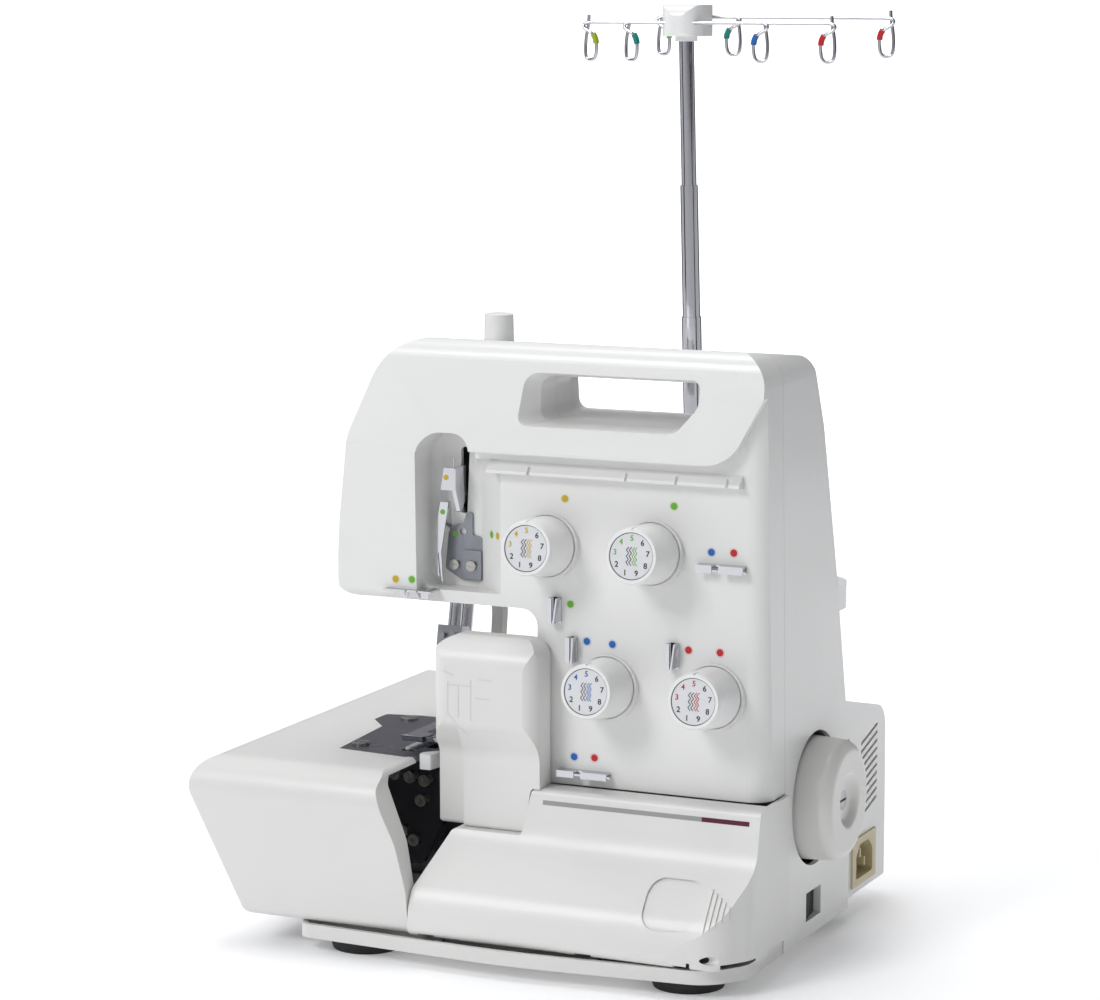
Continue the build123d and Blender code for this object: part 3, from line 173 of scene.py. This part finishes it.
FINISH = {
    "base_tray": BASE, "rubber_feet": RUBBER, "base_screws": SCREW, "frame_casting": CAST,
    "front_casing": SHELL, "rear_casing": SHELL, "motor_cover": SHELL, "power_inlet": CREAM,
    "power_switch": BLACK, "bushes": BRONZE, "main_shaft": STEEL, "drive_pulley": CAST,
    "drive_belt": RUBBER, "handwheel": WHEEL, "motor": ENAMEL, "motor_rotor": STEEL,
    "needle_bar": CHROME, "needle_clamp": STEEL, "needles": CHROME, "presser_bar": CHROME,
    "foot_holder": STEEL, "foot_pin": STEEL, "presser_foot": CHROME, "presser_lifter": GREY,
    "pivot_pins": STEEL, "pressure_knob": DIAL, "takeup_lever": CHROME, "takeup_bracket": BRACKET,
    "fine_screws": SCREW, "needle_plate": BED, "feed_dog": STEEL, "lower_knife": STEEL,
    "upper_knife": STEEL, "bay_plate": ENAMEL, "lower_looper": STEEL, "upper_looper": STEEL,
    "stitch_dial": GREY, "finger_tab": DIAL, "cloth_plate": TABLE, "table_hinge": BRACKET,
    "looper_cover": COVER, "finger_guard": COVER, "hinge_rod": STEEL, "cover_carriage": GREY,
    "left_needle_dial": DIAL, "right_needle_dial": DIAL, "upper_looper_dial": DIAL,
    "lower_looper_dial": DIAL, "tension_units": STEEL, "thread_hooks": CHROME,
    "spool_stand": SHELL, "spool_pins": CHROME, "cone_holders": GREY, "pole_outer": POLE,
    "pole_middle": POLE, "pole_inner": POLE, "guide_hub": DIAL, "guide_wires": CHROME,
    "wire_sleeves": DIAL,
}
for node, finish in FINISH.items():
    for material_slot in NODES[node].material_slots:
        material_slot.material = finish


# ---- Making pieces ----
SHARP_EDGE = math.radians(35)
TINY = 0.000001                   # points closer than this are one, in m


def piece(name, mesh, finish, body):
    """Adds a mesh as a piece that rides on a body, smooth-shaded by angle."""
    thing = bpy.data.objects.new(name, mesh)
    bpy.context.scene.collection.objects.link(thing)
    mesh.materials.clear()
    mesh.materials.append(finish)
    for polygon in mesh.polygons:
        polygon.use_smooth = True
    mesh.set_sharp_from_angle(angle=SHARP_EDGE)
    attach(thing, body)
    return thing


def mesh_of(maker):
    """A mesh filled by a function that gets an empty bmesh."""
    shape = bmesh.new()
    maker(shape)
    bmesh.ops.recalc_face_normals(shape, faces=shape.faces)
    mesh = bpy.data.meshes.new("shape")
    shape.to_mesh(mesh)
    shape.free()
    return mesh


def baked(curve):
    """A curve or text turned into one closed mesh with its doubled points merged."""
    holder = bpy.data.objects.new("holder", curve)
    bpy.context.scene.collection.objects.link(holder)
    bpy.context.view_layer.update()
    mesh = bpy.data.meshes.new_from_object(holder.evaluated_get(bpy.context.evaluated_depsgraph_get()))
    bpy.data.objects.remove(holder)
    bpy.data.curves.remove(curve)
    shape = bmesh.new()
    shape.from_mesh(mesh)
    bmesh.ops.remove_doubles(shape, verts=shape.verts, dist=TINY)
    bmesh.ops.dissolve_degenerate(shape, edges=shape.edges, dist=TINY)
    bmesh.ops.recalc_face_normals(shape, faces=shape.faces)
    shape.to_mesh(mesh)
    shape.free()
    return mesh


def joined(meshes):
    """Several meshes as one."""
    shape = bmesh.new()
    for mesh in meshes:
        shape.from_mesh(mesh)
    whole = bpy.data.meshes.new("joined")
    shape.to_mesh(whole)
    shape.free()
    return whole


def wire_mesh(points, radius, order=4, resolution=10):
    """A round wire along a smooth line through the given control points, as a closed mesh."""
    curve = bpy.data.curves.new("wire", "CURVE")
    curve.dimensions = "3D"
    curve.bevel_depth = radius
    curve.bevel_resolution = 4
    curve.use_fill_caps = True
    spline = curve.splines.new("NURBS")
    spline.points.add(len(points) - 1)
    for control, point in zip(spline.points, points):
        control.co = (*point, 1)
    spline.order_u = order
    spline.use_endpoint_u = True
    spline.resolution_u = resolution
    return baked(curve)


def text_mesh(words, size, depth):
    """Raised figures as a mesh, centred on their own origin."""
    curve = bpy.data.curves.new("figure", "FONT")
    curve.body = words
    curve.size = size
    curve.extrude = depth
    curve.offset = size * 0.018
    curve.align_x = "CENTER"
    curve.align_y = "CENTER"
    return baked(curve)


def ink(name, colour, rough=(0.35, 0.5)):
    """A matt printed colour."""
    return surface(name, colour, rough, bump=0.15, mottle=0.06, grain=2200)


# ---- Dial scales ----
INK_BLACK = ink("figures_black", INK)
FACE_OUT = 25.3                   # from the dial's joint out to its face, in mm like all of the scale
PLATE_R, PLATE_THICK = 10.55, 0.25
RING_R, RING_THICK = 10.85, 0.12
FIGURES_R, FIGURE_SIZE, FIGURE_DEPTH = 8.2, 3.6, 0.05
FIGURE_STEP = 40                  # degrees between figures, with 5 at the top
COLOURED_FIGURES = (3, 4, 5)


def dial_place(label):
    """The dial's face: X to the right, Y up the face, Z out along its axis."""
    joint = JOINTS[label + "_turn"]
    out = Vector(joint["axis"]).normalized()
    right = Vector((1, 0, 0))
    up = out.cross(right).normalized()
    face = Vector(joint["pos_m"]) + out * (FACE_OUT * MM)
    return Matrix.Translation(face) @ Matrix((right, up, out)).transposed().to_4x4()


def stitch_icon(shape, rails):
    """Part of a small stitch diagram: one zigzag thread of six strokes up each rail, in mm."""
    rise, sway, half_width, thick = 1.4, 0.62, 0.17, 0.09
    for rail in rails:
        for step in range(6):
            low = (step - 3) * rise
            side = sway if step % 2 else -sway
            ends = (Vector((rail - side, low, 0)), Vector((rail + side, low + rise, 0)))
            across = (ends[1] - ends[0]).cross(Vector((0, 0, 1))).normalized() * half_width
            corners = [ends[0] - across, ends[0] + across, ends[1] + across, ends[1] - across]
            low_ring = [shape.verts.new(corner * MM) for corner in corners]
            top_ring = [shape.verts.new((corner + Vector((0, 0, thick))) * MM) for corner in corners]
            shape.faces.new(low_ring)
            shape.faces.new(top_ring)
            for i in range(4):
                j = (i + 1) % 4
                shape.faces.new((low_ring[i], low_ring[j], top_ring[j], top_ring[i]))


def disc(shape, radius, thick, segments=96, lip=0.12):
    """A thin disc on the XY plane with a small rounded rim, in mm."""
    turns = [2 * math.pi * i / segments for i in range(segments)]
    rings = []
    for r, z in ((radius, 0), (radius, thick - lip), (radius - lip, thick)):
        spots = [Vector((r * math.cos(turn), r * math.sin(turn), z)) * MM for turn in turns]
        rings.append([shape.verts.new(spot) for spot in spots])
    for low, high in zip(rings, rings[1:]):
        for i in range(segments):
            j = (i + 1) % segments
            shape.faces.new((low[i], low[j], high[j], high[i]))
    shape.faces.new(rings[-1])
    shape.faces.new(rings[0])


for label, colour in DIAL_COLOURS.items():
    where = dial_place(label)
    body = label + "_knob"
    tinted = ink(label + "_ink", colour)
    plate = mesh_of(lambda shape: disc(shape, PLATE_R, PLATE_THICK))
    plate.transform(where)
    piece(label + "_scale_plate", plate, PLATE, body)
    ring = mesh_of(lambda shape: disc(shape, RING_R, RING_THICK, lip=0.03))
    ring.transform(where)
    piece(label + "_scale_ring", ring, INK_BLACK, body)
    for figure in (5, 4, 3, 2, 1, 9, 8, 7, 6):
        turn = math.radians(90 + FIGURE_STEP * (5 - figure))
        mesh = text_mesh(str(figure), FIGURE_SIZE * MM, FIGURE_DEPTH * MM)
        spot = Vector((FIGURES_R * math.cos(turn), FIGURES_R * math.sin(turn), PLATE_THICK + 0.03)) * MM
        mesh.transform(where @ Matrix.Translation(spot))
        finish = tinted if figure in COLOURED_FIGURES else INK_BLACK
        piece(f"{label}_figure_{figure}", mesh, finish, body)
    for part, rails, finish in (("dark", (-1.9, -0.5), INK_BLACK), ("tint", (1.0, 2.2), tinted)):
        mesh = mesh_of(lambda shape: stitch_icon(shape, rails))
        mesh.transform(where @ Matrix.Translation(Vector((0, 0, PLATE_THICK + 0.01)) * MM))
        piece(f"{label}_stitch_mark_{part}", mesh, finish, body)


# ---- Colour marks on the casings ----
def tree_of(node):
    """A node's mesh, ready for finding where a line meets it."""
    mesh = NODES[node].data
    corners = [vertex.co.copy() for vertex in mesh.vertices]
    return BVHTree.FromPolygons(corners, [tuple(polygon.vertices) for polygon in mesh.polygons])


MARKED_NODES = ("front_casing", "looper_cover", "takeup_lever", "thread_hooks", "takeup_bracket",
                "finger_guard")
TREES = {node: tree_of(node) for node in MARKED_NODES}
AHEAD = -140.0                    # a y in front of the whole machine, in mm


def on_front(node, x, z):
    """The point and outward normal where a line along +Y first meets a node, at drawing x and z."""
    hit, normal, _, _ = TREES[node].ray_cast(place(x, AHEAD, z), Vector((0, 1, 0)))
    if hit is None:
        raise RuntimeError(f"nothing of {node} at {x}, {z}")
    return hit, (normal if normal.y < 0 else -normal)


MARK_R, METAL_MARK_R, HALO_R = 1.7, 1.3, 2.35
MARKS = [                         # node, x and z of its centre in mm, colour
    ("front_casing", 28.2, 219.6, YELLOW), ("front_casing", 83.0, 219.5, GREEN),
    ("front_casing", 101.6, 199.4, BLUE), ("front_casing", 112.6, 199.8, RED),
    ("front_casing", 31.0, 170.0, GREEN), ("front_casing", 39.4, 153.0, BLUE),
    ("front_casing", 52.4, 152.6, BLUE), ("front_casing", 90.6, 153.0, RED),
    ("front_casing", 106.2, 153.0, RED), ("front_casing", 33.0, 97.4, BLUE),
    ("front_casing", 43.4, 97.8, RED), ("front_casing", -57.0, 176.6, YELLOW),
    ("front_casing", -48.4, 177.0, GREEN), ("front_casing", -7.6, 199.2, YELLOW),
    ("front_casing", -12.6, 199.0, GREEN), ("takeup_lever", -34.6, 225.5, YELLOW),
    ("thread_hooks", -37.6, 208.5, GREEN), ("takeup_bracket", -34.8, 197.0, GREEN),
]
MARK_INKS = {}
HALO_INKS = {}
for colour in (YELLOW, GREEN, BLUE, RED):
    MARK_INKS[colour] = ink(f"mark_ink_{len(MARK_INKS)}", colour, (0.3, 0.45))
    pale = tuple(0.62 + 0.38 * channel for channel in colour)
    HALO_INKS[colour] = ink(f"halo_ink_{len(HALO_INKS)}", pale, (0.3, 0.45))
for index, (node, x, z, colour) in enumerate(MARKS):
    hit, normal = on_front(node, x, z)
    facing = Matrix.Translation(hit) @ normal.to_track_quat("Z", "Y").to_matrix().to_4x4()
    on_metal = node != "front_casing"
    body = "takeup" if node == "takeup_lever" else "machine"
    core = mesh_of(lambda shape: disc(shape, METAL_MARK_R if on_metal else MARK_R, 0.12, 40, 0.05))
    core.transform(facing)
    piece(f"colour_mark_{index}", core, MARK_INKS[colour], body)
    if not on_metal:
        halo = mesh_of(lambda shape: disc(shape, HALO_R, 0.06, 40, 0.03))
        halo.transform(facing)
        piece(f"colour_halo_{index}", halo, HALO_INKS[colour], body)


def draped_band(node, name, x0, x1, z0, z1, finish, body, slot, across=48, up=3, lift=0.08):
    """A thin raised band that follows a node's front face between two heights."""
    def fill(shape):
        grid = []
        for j in range(up + 1):
            row = []
            for i in range(across + 1):
                hit, normal = on_front(node, x0 + (x1 - x0) * i / across, z0 + (z1 - z0) * j / up)
                ends = (hit - normal * 0.02 * MM, hit + normal * lift * MM)
                row.append([shape.verts.new(end) for end in ends])
            grid.append(row)
        for j in range(up):
            for i in range(across):
                around = (grid[j][i], grid[j][i + 1], grid[j + 1][i + 1], grid[j + 1][i])
                for k in (0, 1):
                    shape.faces.new([ends[k] for ends in around])
        for i in range(across):
            for j in (0, up):
                shape.faces.new((grid[j][i][0], grid[j][i + 1][0], grid[j][i + 1][1], grid[j][i][1]))
        for j in range(up):
            for i in (0, across):
                shape.faces.new((grid[j][i][0], grid[j + 1][i][0], grid[j + 1][i][1], grid[j][i][1]))

    return piece(name, mesh_of(fill), finish, body)


BAND_GREY = ink("stripe_grey", (0.36, 0.36, 0.36), (0.3, 0.42))
BAND_MAROON = ink("stripe_maroon", (0.10, 0.005, 0.03), (0.25, 0.38))
STRIPE = (76.9, 79.0)             # the stripe's lower and upper edge, in mm
draped_band("looper_cover", "cover_stripe_grey", 24, 104, *STRIPE, BAND_GREY, "cover", "shell_white")
draped_band("looper_cover", "cover_stripe_maroon", 104, 127.4, *STRIPE, BAND_MAROON, "cover", "shell_white")


# ---- Moulded threading lines on the finger guard, in a darker grey that is painted shade ----
def draped_rib(node, name, path, width, height, finish, body, step=1.5):
    """A thin raised line that follows a node's front face along a path of (x, z) corners."""
    spots = []
    for (x0, z0), (x1, z1) in zip(path, path[1:]):
        count = max(2, int(math.hypot(x1 - x0, z1 - z0) / step))
        for i in range(count):
            spots.append(on_front(node, x0 + (x1 - x0) * i / count, z0 + (z1 - z0) * i / count))
    spots.append(on_front(node, *path[-1]))

    def fill(shape):
        rings = []
        for i, (hit, normal) in enumerate(spots):
            along = spots[min(i + 1, len(spots) - 1)][0] - spots[max(i - 1, 0)][0]
            side = along.cross(normal).normalized() * width / 2 * MM
            low, high = hit - normal * 0.05 * MM, hit + normal * height * MM
            corners = (low - side, high - side * 0.6, high + side * 0.6, low + side)
            rings.append([shape.verts.new(corner) for corner in corners])
        for ring, following in zip(rings, rings[1:]):
            for i in range(4):
                j = (i + 1) % 4
                shape.faces.new((ring[i], ring[j], following[j], following[i]))
        shape.faces.new(rings[0])
        shape.faces.new(rings[-1])

    return piece(name, mesh_of(fill), finish, body)


# The lines' darker grey is painted shade along the moulded lines; the guard itself is all one white plastic.
MOULDING_SHADE = surface("guard_moulding_painted_shade", (0.68, 0.68, 0.67), (0.28, 0.4), bump=0.1, mottle=0.02)
GUARD_LINES = [                   # each a path of (x, z) corners in mm
    [(-22.0, 133.0), (-22.0, 118.0), (-12.5, 107.5)], [(-16.5, 131.0), (-16.5, 116.0)],
    [(-10.0, 134.5), (-10.0, 115.0)], [(-22.0, 131.5), (-10.0, 131.5)], [(-25.0, 138.0), (-18.5, 136.0)],
    [(-6.0, 135.0), (1.0, 135.0)], [(-8.0, 126.0), (0.0, 126.0)],
]
for index, path in enumerate(GUARD_LINES):
    draped_rib("finger_guard", f"guard_line_{index}", path, 0.6, 0.16, MOULDING_SHADE, "cover")


# ---- Thread guide wires with pigtail eyes ----
WIRE_R, SLEEVE_R = 0.85, 1.45
# Each wire: its name, y and z, and its eyes as x, the side the eye faces, colour and end eye or not.
GUIDE_WIRES = [
    ("front", 35.0, 437.5, [(-5.5, 1, LIME, True), (16.0, 1, TEAL, False), (83.0, -1, BLUE, False),
                            (117.0, -1, RED, True)]),
    ("rear", 53.0, 440.0, [(25.5, 1, GREEN, False), (62.0, -1, TEAL, False), (140.0, -1, RED, True)]),
]


def pigtail(x, y, z, side, at_end):
    """An eye curled out of the wire: across, round the tall oval and back up behind it."""
    start = [(7.5, 0, 0), (1.5, 0, 0), (-3.6, 0, 0.2), (-3.9, -0.7, -3.2), (1.6, -1.1, -5.2)]
    oval = [(3.6, -1.1, -8.5), (3.3, -0.7, -15), (2.4, -0.3, -18.2), (-2.4, 0.3, -18.2), (-3.3, 0.7, -15)]
    finish = [(-3.0, 1.0, -6), (-1.6, 1.1, -1.5), (-1.4, 1.1, 3.6 if at_end else 0.3)]
    return [place(x + side * u, y + v, z + w) for u, v, w in start + oval + finish]


for label, y, z, eyes in GUIDE_WIRES:
    left = min(x for x, side, colour, at_end in eyes)
    right = max(x for x, side, colour, at_end in eyes)
    line = [place(left, y, z), place((left + right) / 2, y, z), place(right, y, z)]
    meshes = [wire_mesh(line, WIRE_R * MM, 3)]
    for index, (x, side, colour, at_end) in enumerate(eyes):
        meshes.append(wire_mesh(pigtail(x, y, z, side, at_end), (WIRE_R - 0.03) * MM, 4, 8))
        sleeve = [place(x + side * u, y + v, z + w) for u, v, w in
                  ((1.7, -1.0, -5.7), (2.7, -1.05, -7.0), (3.15, -1.05, -8.4), (3.3, -0.95, -10.2))]
        made = piece(f"guide_sleeve_{label}_{index}", wire_mesh(sleeve, SLEEVE_R * MM, 4, 6),
                     ink(f"sleeve_{label}_{index}", colour, (0.25, 0.4)), "mast_head")
        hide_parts("wire_sleeves")
    made = piece(f"guide_wire_{label}", joined(meshes), CHROME, "mast_head")
    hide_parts("guide_wires")


# ---- Camera, light and floor ----
def aim(thing, target):
    """Turns a camera or lamp to look at a point."""
    direction = (target - thing.location).normalized()
    thing.rotation_euler = direction.to_track_quat("-Z", "Y").to_euler()


EYE = (688.85, -1536.55, 462.22)  # in mm, in front and to the right
LOOK_AT = (0, -25, 211)
LENS = 114.545                    # mm on a 36 mm sensor
HEADING = math.radians(24.5)      # how far the camera stands round from the front
camera_data = bpy.data.cameras.new("camera")
camera_data.sensor_width = 36.0
camera_data.sensor_fit = "HORIZONTAL"
camera_data.lens = LENS
camera_data.clip_end = 50.0
camera = bpy.data.objects.new("camera", camera_data)
bpy.context.scene.collection.objects.link(camera)
camera.location = place(*EYE)
aim(camera, place(*LOOK_AT))
bpy.context.scene.camera = camera


def area_light(name, where, target, size, power):
    """A rectangular soft light in watts, aimed at a point."""
    data = bpy.data.lights.new(name, "AREA")
    data.shape = "RECTANGLE"
    data.size, data.size_y = size
    data.energy = power
    lamp = bpy.data.objects.new(name, data)
    bpy.context.scene.collection.objects.link(lamp)
    lamp.location = where
    aim(lamp, Vector(target))


area_light("key", (-0.75, -1.8, 1.6), (0, 0, 0.15), (0.7, 0.7), 18)
area_light("top", (-0.2, 0.1, 2.0), (0, 0, 0.1), (1.0, 1.0), 15)
area_light("rim", (-0.4, 1.8, 1.3), (0, 0, 0.2), (1.0, 0.8), 4)
area_light("backdrop_wash", (-0.8, 1.6, 2.2), (-1.0, 3.4, 0.6), (2.0, 1.0), 70)

world = bpy.data.worlds.new("studio")
bpy.context.scene.world = world
world.use_nodes = True
background = world.node_tree.nodes["Background"]
background.inputs["Color"].default_value = (0.95, 0.965, 1.0, 1)
# The room is bright to the left and in front, and dim to the right.
heading = world.node_tree.nodes.new("ShaderNodeTexCoord")
slope = world.node_tree.nodes.new("ShaderNodeVectorMath")
slope.operation = "DOT_PRODUCT"
slope.inputs[1].default_value = (-0.93, -0.25, 0.25)
fade = world.node_tree.nodes.new("ShaderNodeMapRange")
fade.inputs["From Min"].default_value = -0.8
fade.inputs["From Max"].default_value = 0.8
fade.inputs["To Min"].default_value = 0.08
fade.inputs["To Max"].default_value = 0.62
world.node_tree.links.new(heading.outputs["Generated"], slope.inputs[0])
world.node_tree.links.new(slope.outputs["Value"], fade.inputs["Value"])
world.node_tree.links.new(fade.outputs["Result"], background.inputs["Strength"])
bpy.context.scene.view_settings.view_transform = "Standard"


def sweep(shape, half=30.0, front=-25.0, bend=3.0, radius=1.5, top=5.0):
    """A floor that curves up into a back wall."""
    profile = [(front, 0.0)] + [
        (bend + radius * math.sin(a), radius - radius * math.cos(a))
        for a in (math.pi / 2 * i / 24 for i in range(25))
    ] + [(bend + radius, top)]
    rows = [(shape.verts.new((-half, y, z)), shape.verts.new((half, y, z))) for y, z in profile]
    for low, high in zip(rows, rows[1:]):
        shape.faces.new((low[0], low[1], high[1], high[0]))


backdrop_mesh = mesh_of(sweep)
backdrop = bpy.data.objects.new("backdrop", backdrop_mesh)
backdrop.rotation_euler = (0, 0, HEADING)
bpy.context.scene.collection.objects.link(backdrop)
for polygon in backdrop_mesh.polygons:
    polygon.use_smooth = True
PAPER = surface("backdrop_paper", (0.93, 0.93, 0.94), (0.7, 0.85), bump=0.05, mottle=0.006, grain=200)
PAPER.node_tree.nodes["Principled BSDF"].inputs["Emission Color"].default_value = (1.0, 1.0, 1.0, 1)
PAPER.node_tree.nodes["Principled BSDF"].inputs["Emission Strength"].default_value = 0.16
backdrop_mesh.materials.append(PAPER)

# Dark cards around the machine show only in reflections: they streak the chrome and quieten the
# glancing reflections on the table and on the right side.
BLACK_CARD = surface("black_card", (0.01, 0.01, 0.012), (0.8, 0.9), bump=0.1)
GREY_CARD = surface("grey_card", (0.22, 0.22, 0.23), (0.8, 0.9), bump=0.1)
CARD_HEIGHT, CARD_CENTRE = 1.7, 0.55
CARDS = [                         # degrees round from the camera, width, distance, finish
    (-75, 0.34, 1.1, BLACK_CARD), (55, 0.22, 1.1, BLACK_CARD), (150, 0.5, 1.1, BLACK_CARD),
    (-140, 0.3, 1.1, BLACK_CARD), (175, 4.4, 1.3, GREY_CARD),
]
for index, (azimuth, width, distance, finish) in enumerate(CARDS):
    turn = HEADING + math.radians(azimuth)
    card_mesh = mesh_of(lambda shape: bmesh.ops.create_grid(shape, x_segments=1, y_segments=1, size=0.5))
    card = bpy.data.objects.new(f"card_{index}", card_mesh)
    card_mesh.materials.append(finish)
    bpy.context.scene.collection.objects.link(card)
    card.location = (distance * math.sin(turn), -distance * math.cos(turn), CARD_CENTRE)
    card.rotation_euler = (math.pi / 2, 0, turn)
    card.scale = (width, CARD_HEIGHT, 1)
    card.visible_camera = card.visible_diffuse = card.visible_shadow = False
